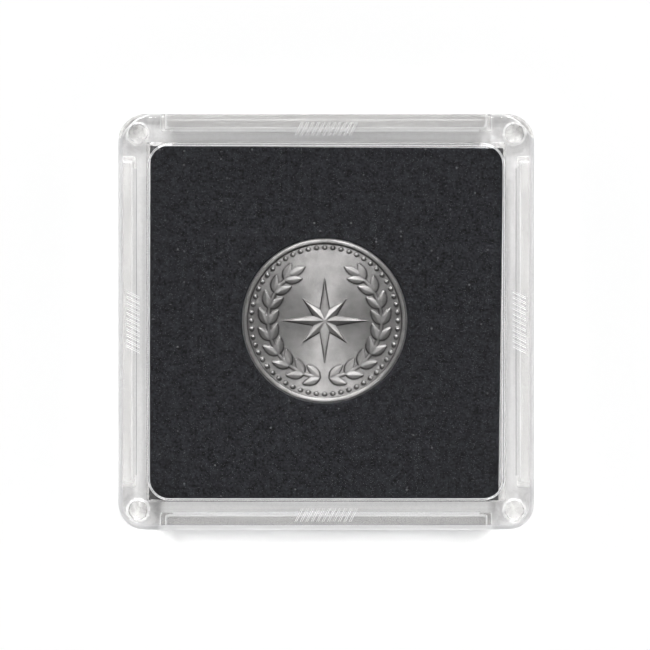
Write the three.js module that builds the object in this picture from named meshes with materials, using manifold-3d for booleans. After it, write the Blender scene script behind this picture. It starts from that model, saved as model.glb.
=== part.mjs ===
// Snap-lock coin holder: two clear square covers that snap together round a black foam insert,
// which holds one coin in its round hole. Units are millimetres.
// The holder lies on its back: +Z points out of the front window and +Y to the top rail.
// The origin is the centre of the back cover's outer face.
import * as THREE from "three";
import { mergeVertices } from "three/addons/utils/BufferGeometryUtils.js";
import Module from "manifold-3d";

const wasm = await Module();
wasm.setup();

// Outside of the closed holder
const HOLDER_WIDTH = 53.6;
const HOLDER_THICKNESS = 6.4;
const OUTER_CORNER_RADIUS = 3.5;
const OUTER_EDGE_RADIUS = 0.75;

// The raised frame round each window, and the bevel that drops from it to the window
const FRAME_PLATE_THICKNESS = 1.2;
const FRAME_FLAT_WIDTH = 3.8;
const WINDOW_BEVEL_WIDTH = 0.25;
const WINDOW_RECESS = 0.6;
const WINDOW_THICKNESS = 1.35;
const WINDOW_CORNER_RADIUS = 2.3;

// The snap joint: the back cover's four tongues stand outside the front cover's ring wall,
// between the front cover's corner posts
const CORNER_POST_LENGTH = 5.4;
const TONGUE_THICKNESS = 2;
const TONGUE_END_CLEARANCE = 0.6;
const TONGUE_END_RADIUS = 0.35;
const TONGUE_LEAD_IN = 0.3;
const FINGERNAIL_CHAMFER = 0.25;
const PARTING_CLEARANCE = 0.1;
const RING_WALL_THICKNESS = 1.4;
const RING_FOOT_CLEARANCE = 0.15;
const BEAD_HEIGHT = 0.15;
const BEAD_WIDTH = 0.7;
const BEAD_END_MARGIN = 1;
const BEAD_BELOW_TONGUE_TOP = 0.9;
const BEAD_RUNNING_CLEARANCE = 0.05;
const GROOVE_DEPTH = 0.15;
const GROOVE_CLEARANCE = 0.1;

// Round locating pegs under the corner posts, and their sockets in the back cover
const PEG_RADIUS = 1.25;
const PEG_LENGTH = 0.8;
const PEG_TIP_CHAMFER = 0.2;
const PEG_CLEARANCE = 0.15;
const PEG_INSET = 2.4;

// A row of slanted grip grooves in the middle of each of the front cover's rails
const GRIP_GROOVES = 11;
const GRIP_PITCH = 0.7;
const GRIP_GROOVE_WIDTH = 0.3;
const GRIP_GROOVE_LENGTH = 1.7;
const GRIP_GROOVE_DEPTH = 0.15;
const GRIP_SLANT = 0.85;
const GRIP_INSET = 1.95;

// Foam insert
const INSERT_SIDE_CLEARANCE = 0.35;
const INSERT_FACE_CLEARANCE = 0.1;
const CAVITY_CORNER_RADIUS = 0.3;
const PAD_SIDE_CLEARANCE = 0.15;

// Coin
const COIN_DIAMETER = 21.2;
const COIN_THICKNESS = 1.95;
const COIN_HOLE_CLEARANCE = 0.1;
const RIM_WIDTH = 0.5;
const RIM_EDGE_RADIUS = 0.18;
const RIM_SLOPE = 0.2;
const FIELD_DEPTH = 0.28;
const RELIEF_SINK = 0.06;

// The coin's front: a ring of beads, a wreath of two branches, and a star
const RING_BEADS = 56;
const RING_BEAD_RADIUS = 0.24;
const RING_BEAD_GAP = 0.42;
const WREATH_GAP = 2.15;
const WREATH_OPENING_ANGLE = 0.5;
const WREATH_FOOT_ANGLE = 0.08;
const STEM_WIDTH = 0.34;
const LEAF_ROWS = 9;
const LEAF_LENGTH = 2.2;
const LEAF_WIDTH = 1.0;
const LEAF_HEIGHT = 0.21;
const LEAF_SPLAY_ANGLE = 0.5;
const LEAF_OFFSET = 0.7;
const STAR_POINTS = 8;
const STAR_GAP = 1.9;
const STAR_SHORT_POINT_STEP = 1.5;
const STAR_VALLEY_RADIUS = 1.6;
const STAR_HEIGHT = 0.25;

// The coin's back: a ring of beads round a rosette
const ROSETTE_PETALS = 12;
const ROSETTE_EYE_RADIUS = 0.9;
const PETAL_LENGTH = 5.6;
const PETAL_WIDTH = 1.5;

// How finely round forms are faceted
const CORNER_STEPS = 8;
const SMALL_CORNER_STEPS = 3;
const EDGE_STEPS = 4;
const COIN_STEPS = 96;
const PEG_STEPS = 24;

// Sizes and places that follow from the ones above
const outerHalf = HOLDER_WIDTH / 2;
const tongueHalf = outerHalf - CORNER_POST_LENGTH - TONGUE_END_CLEARANCE;
const tongueInner = outerHalf - TONGUE_THICKNESS;
const ringOuterHalf = tongueInner - BEAD_HEIGHT - BEAD_RUNNING_CLEARANCE;
const cavityHalf = ringOuterHalf - RING_WALL_THICKNESS;
const windowHalf = outerHalf - FRAME_FLAT_WIDTH - WINDOW_BEVEL_WIDTH;
const padTop = WINDOW_RECESS + WINDOW_THICKNESS;
const cavityTop = HOLDER_THICKNESS - padTop;
const frontPlateBottom = HOLDER_THICKNESS - FRAME_PLATE_THICKNESS;
const plateEdgeRadius = Math.min(OUTER_EDGE_RADIUS, FRAME_PLATE_THICKNESS - FINGERNAIL_CHAMFER);
const tongueTop = frontPlateBottom - PARTING_CLEARANCE;
const postBottom = FRAME_PLATE_THICKNESS + PARTING_CLEARANCE;
const ringFoot = FRAME_PLATE_THICKNESS + RING_FOOT_CLEARANCE;
const beadZ = tongueTop - BEAD_BELOW_TONGUE_TOP;
const beadLength = 2 * (tongueHalf - BEAD_END_MARGIN);
const pegPlace = outerHalf - PEG_INSET;
const insertHalf = cavityHalf - INSERT_SIDE_CLEARANCE;
const insertBottom = padTop + INSERT_FACE_CLEARANCE;
const insertTop = cavityTop - INSERT_FACE_CLEARANCE;
const coinRadius = COIN_DIAMETER / 2;
const coinMiddle = (padTop + cavityTop) / 2;
const fieldRadius = coinRadius - RIM_WIDTH - RIM_SLOPE;
const beadRingRadius = fieldRadius - RING_BEAD_GAP;
const wreathRadius = beadRingRadius - WREATH_GAP;
const starLongPoint = wreathRadius - STAR_GAP;
const starShortPoint = starLongPoint - STAR_SHORT_POINT_STEP;

// A closed three.js geometry as a solid that can be joined and cut.
function solidOf(geometry) {
  const bare = geometry.clone();
  bare.deleteAttribute("normal");
  bare.deleteAttribute("uv");
  const merged = mergeVertices(bare, 1e-5);
  return new wasm.Manifold(
    new wasm.Mesh({
      numProp: 3,
      vertProperties: new Float32Array(merged.attributes.position.array),
      triVerts: new Uint32Array(merged.index.array),
    }),
  );
}

// A solid as a named mesh with its material.
function meshOf(name, solid, material) {
  const { vertProperties, triVerts } = solid.getMesh();
  const geometry = new THREE.BufferGeometry();
  geometry.setAttribute("position", new THREE.BufferAttribute(new Float32Array(vertProperties), 3));
  geometry.setIndex(new THREE.BufferAttribute(new Uint32Array(triVerts), 1));
  geometry.computeVertexNormals();
  const mesh = new THREE.Mesh(geometry, material);
  mesh.name = name;
  return mesh;
}

function joined(solids) {
  return solids.reduce((all, next) => all.add(next));
}

function cutFrom(solid, cutters) {
  return cutters.reduce((rest, cutter) => rest.subtract(cutter), solid);
}

// The same solid on each of the four sides, made for the side at +Y.
function onFourSides(solid) {
  return [0, 90, 180, 270].map((degrees) => solid.rotate([0, 0, degrees]));
}

// A geometry from points and triangles of point numbers.
function facetedGeometry(points, triangles) {
  const geometry = new THREE.BufferGeometry();
  geometry.setAttribute("position", new THREE.Float32BufferAttribute(points.flat(), 3));
  geometry.setIndex(triangles);
  return geometry;
}

// The points of a rectangle with round corners, anticlockwise, in the plane at z.
function roundedRectangle({ x0, x1, y0, y1, radius, z, steps }) {
  const centres = [
    [x1 - radius, y1 - radius],
    [x0 + radius, y1 - radius],
    [x0 + radius, y0 + radius],
    [x1 - radius, y0 + radius],
  ];
  const points = [];
  centres.forEach(([x, y], corner) => {
    for (let step = 0; step <= steps; step++) {
      const angle = ((corner + step / steps) * Math.PI) / 2;
      points.push([x + radius * Math.cos(angle), y + radius * Math.sin(angle), z]);
    }
  });
  return points;
}

function roundedSquare({ half, radius, z, steps = CORNER_STEPS }) {
  return roundedRectangle({ x0: -half, x1: half, y0: -half, y1: half, radius, z, steps });
}

function middleOf(ring) {
  return [0, 1, 2].map((axis) => ring.reduce((sum, point) => sum + point[axis], 0) / ring.length);
}

// A closed solid through rings with equal numbers of points, from the lowest ring to the highest.
function loftThrough(rings) {
  const count = rings[0].length;
  const points = rings.flat();
  const bottomMiddle = points.push(middleOf(rings[0])) - 1;
  const topMiddle = points.push(middleOf(rings.at(-1))) - 1;
  const topStart = (rings.length - 1) * count;
  const triangles = [];
  for (let i = 0; i < count; i++) {
    const next = (i + 1) % count;
    triangles.push(bottomMiddle, next, i);
    for (let start = 0; start < topStart; start += count) {
      triangles.push(start + i, start + next, start + next + count);
      triangles.push(start + i, start + next + count, start + i + count);
    }
    triangles.push(topMiddle, topStart + i, topStart + next);
  }
  return solidOf(facetedGeometry(points, triangles));
}

// A square block with round corners, between two heights.
function squareBlock({ half, radius, z0, z1, steps }) {
  return loftThrough([
    roundedSquare({ half, radius, z: z0, steps }),
    roundedSquare({ half, radius, z: z1, steps }),
  ]);
}

// A solid swept along X from a profile of [y, z] points.
function prismAlongX(profile, length) {
  const shape = new THREE.Shape(profile.map(([y, z]) => new THREE.Vector2(y, z)));
  const geometry = new THREE.ExtrudeGeometry(shape, { depth: length, bevelEnabled: false });
  geometry.translate(0, 0, -length / 2);
  geometry.rotateY(Math.PI / 2);
  geometry.rotateX(Math.PI / 2);
  return solidOf(geometry);
}

// A solid of revolution about Z from a profile of [radius, z] points, from the bottom to the top.
function revolved(profile, steps) {
  const geometry = new THREE.LatheGeometry(
    profile.map(([r, z]) => new THREE.Vector2(r, z)),
    steps,
  );
  geometry.rotateX(Math.PI / 2);
  return solidOf(geometry);
}

// The form that both covers share, lying on its outer face: a frame plate with a rounded outer edge
// and a chamfered parting edge, a bevelled recess, and a window that steps into the cavity as a pad.
function windowedPlate(padHalf) {
  const plate = [];
  for (let step = 0; step <= EDGE_STEPS; step++) {
    const angle = ((step / EDGE_STEPS) * Math.PI) / 2;
    const inset = plateEdgeRadius * (1 - Math.sin(angle));
    const z = plateEdgeRadius * (1 - Math.cos(angle));
    plate.push(roundedSquare({ half: outerHalf - inset, radius: OUTER_CORNER_RADIUS - inset, z }));
  }
  for (const inset of [0, FINGERNAIL_CHAMFER]) {
    const z = FRAME_PLATE_THICKNESS - FINGERNAIL_CHAMFER + inset;
    plate.push(roundedSquare({ half: outerHalf - inset, radius: OUTER_CORNER_RADIUS - inset, z }));
  }
  const pad = squareBlock({
    half: padHalf,
    radius: CAVITY_CORNER_RADIUS,
    z0: FRAME_PLATE_THICKNESS / 2,
    z1: padTop,
    steps: SMALL_CORNER_STEPS,
  });
  const spread = 2 * WINDOW_BEVEL_WIDTH;
  const recess = loftThrough([
    roundedSquare({ half: windowHalf + spread, radius: WINDOW_CORNER_RADIUS + spread, z: -WINDOW_RECESS }),
    roundedSquare({ half: windowHalf, radius: WINDOW_CORNER_RADIUS, z: WINDOW_RECESS }),
  ]);
  return loftThrough(plate).add(pad).subtract(recess);
}

// The half-round section of a snap bead or its groove, standing off the plane at y towards -Y.
function beadSection(y, height, width) {
  const points = [[y + height, beadZ - width / 2]];
  for (let step = 0; step <= 2 * EDGE_STEPS; step++) {
    const angle = (step / (2 * EDGE_STEPS)) * Math.PI;
    points.push([y - height * Math.sin(angle), beadZ - (width / 2) * Math.cos(angle)]);
  }
  points.push([y + height, beadZ + width / 2]);
  return points;
}

// The back cover's tongue at +Y: flush with the outer face, round at its corners, with a lead-in
// all round its top and a snap bead along its inner face.
function tongue() {
  const ring = (inset, z) =>
    roundedRectangle({
      x0: inset - tongueHalf,
      x1: tongueHalf - inset,
      y0: tongueInner + inset,
      y1: outerHalf - inset,
      radius: TONGUE_END_RADIUS,
      z,
      steps: SMALL_CORNER_STEPS,
    });
  const blank = loftThrough([
    ring(0, plateEdgeRadius),
    ring(0, tongueTop - TONGUE_LEAD_IN),
    ring(TONGUE_LEAD_IN, tongueTop),
  ]);
  return blank.add(prismAlongX(beadSection(tongueInner, BEAD_HEIGHT, BEAD_WIDTH), beadLength));
}

// The room for that tongue between the front cover's posts, with a chamfer for a fingernail
// along the lower edge of the rail above it.
function tongueRoom() {
  const half = tongueHalf + TONGUE_END_CLEARANCE;
  const ring = (z) =>
    roundedRectangle({
      x0: -half,
      x1: half,
      y0: ringOuterHalf,
      y1: outerHalf + TONGUE_THICKNESS,
      radius: TONGUE_END_RADIUS,
      z,
      steps: SMALL_CORNER_STEPS,
    });
  const chamfer = prismAlongX(
    [
      [outerHalf - FINGERNAIL_CHAMFER, frontPlateBottom],
      [outerHalf, frontPlateBottom - FINGERNAIL_CHAMFER],
      [outerHalf + FINGERNAIL_CHAMFER, frontPlateBottom + FINGERNAIL_CHAMFER],
      [outerHalf, frontPlateBottom + FINGERNAIL_CHAMFER],
    ],
    2 * tongueHalf,
  );
  return loftThrough([ring(0), ring(frontPlateBottom)]).add(chamfer);
}

// The groove in the front cover's ring wall that the bead snaps into.
function beadGroove() {
  const section = beadSection(ringOuterHalf, GROOVE_DEPTH, BEAD_WIDTH + 2 * GROOVE_CLEARANCE);
  return prismAlongX(section, beadLength + 2 * GROOVE_CLEARANCE);
}

// The row of slanted grooves in the top of the rail at +Y.
function gripGrooves() {
  const middle = outerHalf - GRIP_INSET;
  const outline = new THREE.Shape(
    [
      [-GRIP_SLANT - GRIP_GROOVE_WIDTH, -GRIP_GROOVE_LENGTH],
      [-GRIP_SLANT + GRIP_GROOVE_WIDTH, -GRIP_GROOVE_LENGTH],
      [GRIP_SLANT + GRIP_GROOVE_WIDTH, GRIP_GROOVE_LENGTH],
      [GRIP_SLANT - GRIP_GROOVE_WIDTH, GRIP_GROOVE_LENGTH],
    ].map(([x, y]) => new THREE.Vector2(x / 2, y / 2)),
  );
  const groove = solidOf(
    new THREE.ExtrudeGeometry(outline, { depth: 2 * GRIP_GROOVE_DEPTH, bevelEnabled: false }),
  );
  const firstX = (-(GRIP_GROOVES - 1) / 2) * GRIP_PITCH;
  return joined(
    Array.from({ length: GRIP_GROOVES }, (_, i) =>
      groove.translate([firstX + i * GRIP_PITCH, middle, HOLDER_THICKNESS - GRIP_GROOVE_DEPTH]),
    ),
  );
}

// A round peg or socket near each corner, between two heights, with a chamfer round its lower end.
function cornerPins(radius, z0, z1) {
  const pin = revolved(
    [
      [0, z0],
      [radius - PEG_TIP_CHAMFER, z0],
      [radius, z0 + PEG_TIP_CHAMFER],
      [radius, z1],
      [0, z1],
    ],
    PEG_STEPS,
  );
  return onFourSides(pin.translate([pegPlace, pegPlace, 0]));
}

function frontCover() {
  const plate = windowedPlate(cavityHalf).rotate([180, 0, 0]).translate([0, 0, HOLDER_THICKNESS]);
  const walls = squareBlock({
    half: outerHalf,
    radius: OUTER_CORNER_RADIUS,
    z0: postBottom,
    z1: frontPlateBottom + FINGERNAIL_CHAMFER,
  });
  const cavity = squareBlock({
    half: cavityHalf,
    radius: CAVITY_CORNER_RADIUS,
    z0: 0,
    z1: cavityTop,
    steps: SMALL_CORNER_STEPS,
  });
  const footRelief = squareBlock({
    half: ringOuterHalf,
    radius: CAVITY_CORNER_RADIUS,
    z0: 0,
    z1: ringFoot,
    steps: SMALL_CORNER_STEPS,
  });
  const body = cutFrom(plate.add(walls), [
    cavity,
    footRelief,
    ...onFourSides(tongueRoom()),
    ...onFourSides(beadGroove()),
    ...onFourSides(gripGrooves()),
  ]);
  return joined([body, ...cornerPins(PEG_RADIUS, postBottom - PEG_LENGTH, ringFoot + PEG_LENGTH)]);
}

function backCover() {
  const plate = windowedPlate(cavityHalf - PAD_SIDE_CLEARANCE);
  const socketFloor = postBottom - PEG_LENGTH - PARTING_CLEARANCE;
  const sockets = cornerPins(PEG_RADIUS + PEG_CLEARANCE, socketFloor, postBottom);
  return cutFrom(joined([plate, ...onFourSides(tongue())]), sockets);
}

function foamInsert() {
  const block = squareBlock({
    half: insertHalf,
    radius: CAVITY_CORNER_RADIUS,
    z0: insertBottom,
    z1: insertTop,
    steps: SMALL_CORNER_STEPS,
  });
  const holeRadius = coinRadius + COIN_HOLE_CLEARANCE;
  const hole = revolved(
    [
      [0, 0],
      [holeRadius, 0],
      [holeRadius, HOLDER_THICKNESS],
      [0, HOLDER_THICKNESS],
    ],
    COIN_STEPS,
  );
  return block.subtract(hole);
}

// The plain coin about its own middle: on each face a raised rim with a rounded edge, and a lower field.
function coinBlank() {
  const half = COIN_THICKNESS / 2;
  const topFace = [
    [0, half - FIELD_DEPTH],
    [fieldRadius, half - FIELD_DEPTH],
    [fieldRadius + RIM_SLOPE, half],
  ];
  for (let step = 0; step <= EDGE_STEPS; step++) {
    const angle = ((step / EDGE_STEPS) * Math.PI) / 2;
    topFace.push([
      coinRadius - RIM_EDGE_RADIUS * (1 - Math.sin(angle)),
      half - RIM_EDGE_RADIUS * (1 - Math.cos(angle)),
    ]);
  }
  const bottomFace = topFace.map(([r, z]) => [r, -z]);
  return revolved([...bottomFace, ...topFace.reverse()], COIN_STEPS);
}

// A low faceted relief over a flat outline of [x, y] points, rising to one peak over the origin.
function facetedRelief(outline, height) {
  const points = outline.map(([x, y]) => [x, y, -RELIEF_SINK]);
  const peak = points.push([0, 0, height]) - 1;
  const foot = points.push([0, 0, -RELIEF_SINK]) - 1;
  const triangles = outline.flatMap((_, i) => {
    const next = (i + 1) % outline.length;
    return [i, next, peak, next, i, foot];
  });
  return solidOf(facetedGeometry(points, triangles));
}

// A star of long and short points in turn.
function star() {
  const outline = [];
  for (let point = 0; point < STAR_POINTS; point++) {
    const reach = point % 2 ? starShortPoint : starLongPoint;
    const angle = (point / STAR_POINTS) * 2 * Math.PI;
    const valleyAngle = angle + Math.PI / STAR_POINTS;
    outline.push([reach * Math.cos(angle), reach * Math.sin(angle)]);
    outline.push([STAR_VALLEY_RADIUS * Math.cos(valleyAngle), STAR_VALLEY_RADIUS * Math.sin(valleyAngle)]);
  }
  return facetedRelief(outline, STAR_HEIGHT);
}

// A pointed leaf along +X, widest before its middle, and about the origin.
function leaf(length, width) {
  const outline = [
    [-length / 2, 0],
    [-length / 8, -width / 2],
    [length / 4, -width / 3],
    [length / 2, 0],
    [length / 4, width / 3],
    [-length / 8, width / 2],
  ];
  return facetedRelief(outline, LEAF_HEIGHT);
}

// A solid about the origin, turned and then moved to a place on a circle; angles run from -Y towards +X.
function onCircle(solid, radius, angle, heading) {
  return solid
    .rotate([0, 0, THREE.MathUtils.radToDeg(heading)])
    .translate([radius * Math.sin(angle), -radius * Math.cos(angle), 0]);
}

// The branch of the wreath at +X: a stem that follows the wreath's circle from its foot to its tip,
// with pairs of leaves that splay from it and one leaf at the tip.
function branch() {
  const tipAngle = Math.PI - WREATH_OPENING_ANGLE;
  const rowAngle = (tipAngle - WREATH_FOOT_ANGLE) / LEAF_ROWS;
  const middle = new THREE.Path();
  middle.absarc(0, 0, wreathRadius, WREATH_FOOT_ANGLE - Math.PI / 2, tipAngle - Math.PI / 2);
  const stemPath = new THREE.CatmullRomCurve3(
    middle.getSpacedPoints(2 * LEAF_ROWS).map(({ x, y }) => new THREE.Vector3(x, y, 0)),
  );
  const section = new THREE.Shape();
  section.absarc(0, 0, STEM_WIDTH / 2, 0, 2 * Math.PI);
  const stem = new THREE.ExtrudeGeometry(section, {
    steps: 2 * LEAF_ROWS,
    extrudePath: stemPath,
    curveSegments: SMALL_CORNER_STEPS,
  });
  const oneLeaf = leaf(LEAF_LENGTH, LEAF_WIDTH);
  const pieces = [solidOf(stem), onCircle(oneLeaf, wreathRadius, tipAngle, tipAngle)];
  for (let row = 0; row < LEAF_ROWS; row++) {
    const angle = WREATH_FOOT_ANGLE + (row + 0.5) * rowAngle;
    for (const side of [-1, 1]) {
      const radius = wreathRadius + side * LEAF_OFFSET;
      pieces.push(onCircle(oneLeaf, radius, angle, angle - side * LEAF_SPLAY_ANGLE));
    }
  }
  return joined(pieces);
}

// A ring of small beads just inside the rim.
function beadRing() {
  const bead = solidOf(new THREE.OctahedronGeometry(RING_BEAD_RADIUS, 1));
  return joined(
    Array.from({ length: RING_BEADS }, (_, i) =>
      onCircle(bead, beadRingRadius, (i / RING_BEADS) * 2 * Math.PI, 0),
    ),
  );
}

// Petals that meet round a small eye.
function rosette() {
  const petal = leaf(PETAL_LENGTH, PETAL_WIDTH);
  const reach = ROSETTE_EYE_RADIUS + PETAL_LENGTH / 2;
  return joined(
    Array.from({ length: ROSETTE_PETALS }, (_, i) => {
      const angle = (i / ROSETTE_PETALS) * 2 * Math.PI;
      return onCircle(petal, reach, angle, angle - Math.PI / 2);
    }),
  );
}

function coin() {
  const field = COIN_THICKNESS / 2 - FIELD_DEPTH;
  const rightBranch = branch();
  const front = joined([beadRing(), rightBranch, rightBranch.mirror([1, 0, 0]), star()]);
  const back = joined([beadRing(), rosette()]);
  return joined([
    coinBlank(),
    front.translate([0, 0, field]),
    back.translate([0, 0, field]).rotate([180, 0, 0]),
  ]);
}

const clearPlastic = new THREE.MeshStandardMaterial({
  color: 0xe6e8ea,
  roughness: 0.06,
  metalness: 0,
  transparent: true,
  opacity: 0.3,
});
const blackFoam = new THREE.MeshStandardMaterial({ color: 0x2b2c30, roughness: 0.95, metalness: 0 });
const coinMetal = new THREE.MeshStandardMaterial({ color: 0xa7a5a3, roughness: 0.35, metalness: 1 });

const holder = new THREE.Group();
const coinMesh = meshOf("coin", coin(), coinMetal);
coinMesh.position.z = coinMiddle;
holder.add(
  meshOf("back_cover", backCover(), clearPlastic),
  meshOf("foam_insert", foamInsert(), blackFoam),
  coinMesh,
  meshOf("front_cover", frontCover(), clearPlastic),
);

export default holder;
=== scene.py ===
# %% [markdown]
# # A snap-lock coin holder
# Two clear square covers snap together round a square of black foam, and a coin sits in the foam's round
# hole. The CAD model gives the frame and the places of all four pieces. This lesson rebuilds each piece
# with finer edges and real finishes, in the same place, and lets it ride on its CAD body.

# %% Load the frame
import math

import bmesh
import bpy
import numpy as np
from mathutils import Matrix, Vector


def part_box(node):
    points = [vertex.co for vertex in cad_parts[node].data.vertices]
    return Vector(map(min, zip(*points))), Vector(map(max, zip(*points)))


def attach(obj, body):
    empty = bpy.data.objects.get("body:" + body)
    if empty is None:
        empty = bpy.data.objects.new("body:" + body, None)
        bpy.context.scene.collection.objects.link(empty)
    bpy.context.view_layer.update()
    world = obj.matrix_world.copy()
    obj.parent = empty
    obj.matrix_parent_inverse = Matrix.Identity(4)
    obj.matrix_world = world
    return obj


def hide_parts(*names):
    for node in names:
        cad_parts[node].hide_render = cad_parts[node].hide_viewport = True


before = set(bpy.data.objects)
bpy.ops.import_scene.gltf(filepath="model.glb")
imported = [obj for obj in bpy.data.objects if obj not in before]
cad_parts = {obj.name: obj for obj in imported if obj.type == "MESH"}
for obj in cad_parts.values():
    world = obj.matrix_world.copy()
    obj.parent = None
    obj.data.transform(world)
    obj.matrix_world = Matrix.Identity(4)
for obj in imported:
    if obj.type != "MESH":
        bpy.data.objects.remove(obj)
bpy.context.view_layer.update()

# %% [markdown]
# ## Sizes
# The outer sizes are read from the CAD nodes, so the pieces can't drift away from them. What the boxes
# can't say, such as a wall or a clearance, is a named value in millimetres. Those that both covers share
# come first, and the places where the covers meet follow from them.

# %% Sizes that the covers share, in millimetres
MM = 0.001
cover_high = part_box("front_cover")[1] / MM
insert_low, insert_high = (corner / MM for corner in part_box("foam_insert"))
coin_low, coin_high = (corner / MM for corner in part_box("coin"))

OUTER_HALF = cover_high.x
HOLDER_TOP = cover_high.z
OUTER_CORNER = 3.5
OUTER_EDGE = 0.75
PLATE = 1.2
FINGERNAIL = 0.25
PARTING_GAP = 0.1
POST = 5.4
TONGUE = 2.0
TONGUE_GAP = 0.6
TONGUE_CORNER = 0.35
RING_WALL = 1.4
CAVITY_CORNER = 0.3
BEAD_HEIGHT = 0.15
BEAD_WIDTH = 0.7
BEAD_MARGIN = 1.0
BEAD_DROP = 0.9
BEAD_GAP = 0.05
print(f"holder {2 * OUTER_HALF:.1f} mm square, {HOLDER_TOP:.1f} mm thick")

# %% Places that follow from the sizes
TONGUE_HALF = OUTER_HALF - POST - TONGUE_GAP
TONGUE_INNER = OUTER_HALF - TONGUE
RING_OUTER = TONGUE_INNER - BEAD_HEIGHT - BEAD_GAP
CAVITY_HALF = RING_OUTER - RING_WALL
FRONT_PLATE_BOTTOM = HOLDER_TOP - PLATE
TONGUE_TOP = FRONT_PLATE_BOTTOM - PARTING_GAP
POST_BOTTOM = PLATE + PARTING_GAP
BEAD_Z = TONGUE_TOP - BEAD_DROP
print(f"tongues {2 * TONGUE_HALF:.1f} mm long, cavity {2 * CAVITY_HALF:.1f} mm wide")

# %% [markdown]
# ## Shared surface effects
# Handling leaves faint hairlines on the plastic, and smudges on the plastic and the coin alike, so these
# marks are a node group that each material sets to its own scale. The foam's specks and the flow lines of
# the moulded frame are groups as well, because each takes many nodes and only a few numbers. Pictures could
# hold such marks, but noise and cell patterns stay sharp from close by.

# %% Node helpers
def feed(tree, node, **given):
    """Sets a node's inputs or links them to other sockets, by the inputs' names with _ for a space."""
    for label, value in given.items():
        socket = node.inputs[label.replace("_", " ")]
        if isinstance(value, bpy.types.NodeSocket):
            tree.links.new(value, socket)
        else:
            socket.default_value = value


def new_node(tree, kind, **given):
    node = tree.nodes.new("ShaderNode" + kind)
    feed(tree, node, **given)
    return node


def math_node(tree, operation, a, b=None):
    node = new_node(tree, "Math")
    node.operation = operation
    for socket, value in zip(node.inputs, (a, b)):
        if isinstance(value, (int, float)):
            socket.default_value = value
        elif value is not None:
            tree.links.new(value, socket)
    return node.outputs[0]


def vector_node(tree, operation, a, b=None):
    node = new_node(tree, "VectorMath")
    node.operation = operation
    tree.links.new(a, node.inputs[0])
    if b is not None:
        node.inputs[1].default_value = b
    return node


def ranged(tree, value, low, high, to_low=0.0, to_high=1.0):
    """The value moved from the range low to high into the range to_low to to_high, and kept inside it."""
    node = new_node(tree, "MapRange", From_Min=low, From_Max=high, To_Min=to_low, To_Max=to_high)
    feed(tree, node, Value=value)
    return node.outputs["Result"]


def noise(tree, place, scale, detail=3.0, roughness=0.55):
    node = new_node(tree, "TexNoise", Vector=place, Scale=scale, Detail=detail, Roughness=roughness)
    return node.outputs["Fac"]


def mixed_colour(tree, factor, first, second):
    """A colour between two others, each of which is a tuple or comes from a socket."""
    node = new_node(tree, "Mix", Factor=factor)
    node.data_type = "RGBA"
    sockets = [socket for socket in node.inputs if socket.type == "RGBA"]
    for socket, value in zip(sockets, (first, second)):
        if isinstance(value, tuple):
            socket.default_value = (*value, 1.0)
        else:
            tree.links.new(value, socket)
    return next(socket for socket in node.outputs if socket.type == "RGBA")


# %% Node groups
def new_group(name, inputs, outputs):
    """A node group with a Vector input, and with the given inputs and outputs for numbers."""
    group = bpy.data.node_groups.new(name, "ShaderNodeTree")
    group.interface.new_socket("Vector", in_out="INPUT", socket_type="NodeSocketVector")
    for label, value in inputs.items():
        socket = group.interface.new_socket(label, in_out="INPUT", socket_type="NodeSocketFloat")
        socket.default_value = value
    for label in outputs:
        group.interface.new_socket(label, in_out="OUTPUT", socket_type="NodeSocketFloat")
    return group, group.nodes.new("NodeGroupInput"), group.nodes.new("NodeGroupOutput")


def handling_group():
    """Fine hairlines that run one way, and soft smudges."""
    group, given, out = new_group(
        "handling_marks", {"Hairline Scale": 900.0, "Smudge Scale": 60.0}, ["Hairlines", "Smudges"]
    )
    stretch = new_node(group, "Mapping", Scale=(1.0, 0.04, 1.0), Rotation=(0.0, 0.0, 0.6))
    feed(group, stretch, Vector=given.outputs["Vector"])
    lines = noise(group, stretch.outputs["Vector"], given.outputs["Hairline Scale"], detail=1.0)
    smudges = noise(group, given.outputs["Vector"], given.outputs["Smudge Scale"], detail=4.0, roughness=0.6)
    feed(group, out, Hairlines=ranged(group, lines, low=0.66, high=0.72))
    feed(group, out, Smudges=ranged(group, smudges, low=0.35, high=0.7))
    return group


def specks_group():
    """Small round specks: a few of a cell pattern's cells, each with its own tone and size."""
    group, given, out = new_group("specks", {"Scale": 900.0, "Size": 0.2, "Share": 0.1}, ["Specks"])
    cells = new_node(group, "TexVoronoi", Vector=given.outputs["Vector"], Scale=given.outputs["Scale"])
    chosen = new_node(group, "SeparateColor", Color=cells.outputs["Color"])
    own_size = math_node(group, "ADD", chosen.outputs["Blue"], 0.4)
    size = math_node(group, "MULTIPLY", given.outputs["Size"], own_size)
    near = math_node(group, "LESS_THAN", cells.outputs["Distance"], size)
    few = math_node(group, "LESS_THAN", chosen.outputs["Red"], given.outputs["Share"])
    spots = math_node(group, "MULTIPLY", near, few)
    tone = math_node(group, "ADD", math_node(group, "MULTIPLY", chosen.outputs["Green"], 0.8), 0.2)
    feed(group, out, Specks=math_node(group, "MULTIPLY", spots, tone))
    return group


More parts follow.
